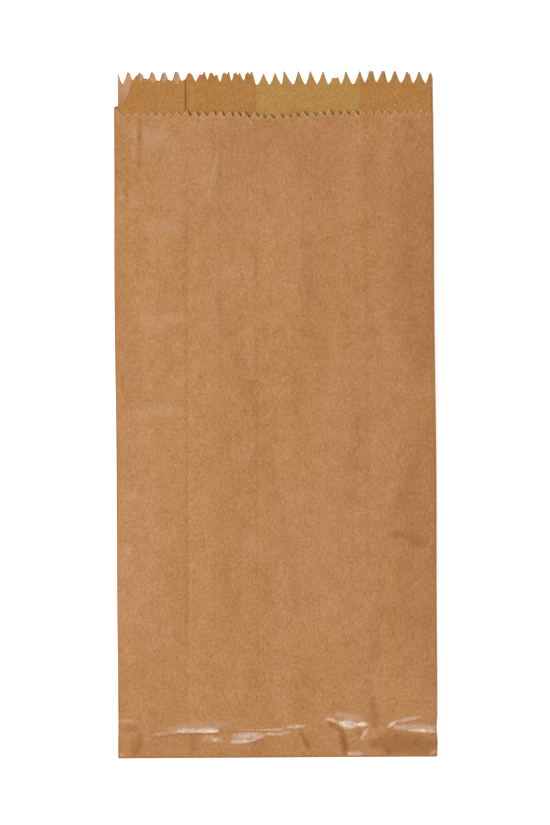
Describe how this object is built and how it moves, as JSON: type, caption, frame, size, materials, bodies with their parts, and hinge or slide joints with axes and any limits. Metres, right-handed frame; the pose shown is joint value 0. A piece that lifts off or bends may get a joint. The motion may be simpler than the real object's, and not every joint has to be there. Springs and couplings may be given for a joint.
{
  "type": "satchel paper bag",
  "caption": "Flat kraft paper satchel bag with side gussets, a stepped serrated mouth and a bottom folded once to the back and glued, lying on its back.",
  "frame": {"origin": "middle of the back of the bag, on the surface it lies on", "axes": "+Z out of the front panel, +Y along the bag to its mouth, +X across the bag to the right as the front is seen with the mouth up"},
  "size_m": [0.165, 0.355, 0.007],
  "materials": {
    "kraft_paper": "brown kraft paper, faintly glazed outside and rougher inside"
  },
  "bodies": {
    "root": {"paper_bag": "kraft_paper"}
  },
  "joints": []
}
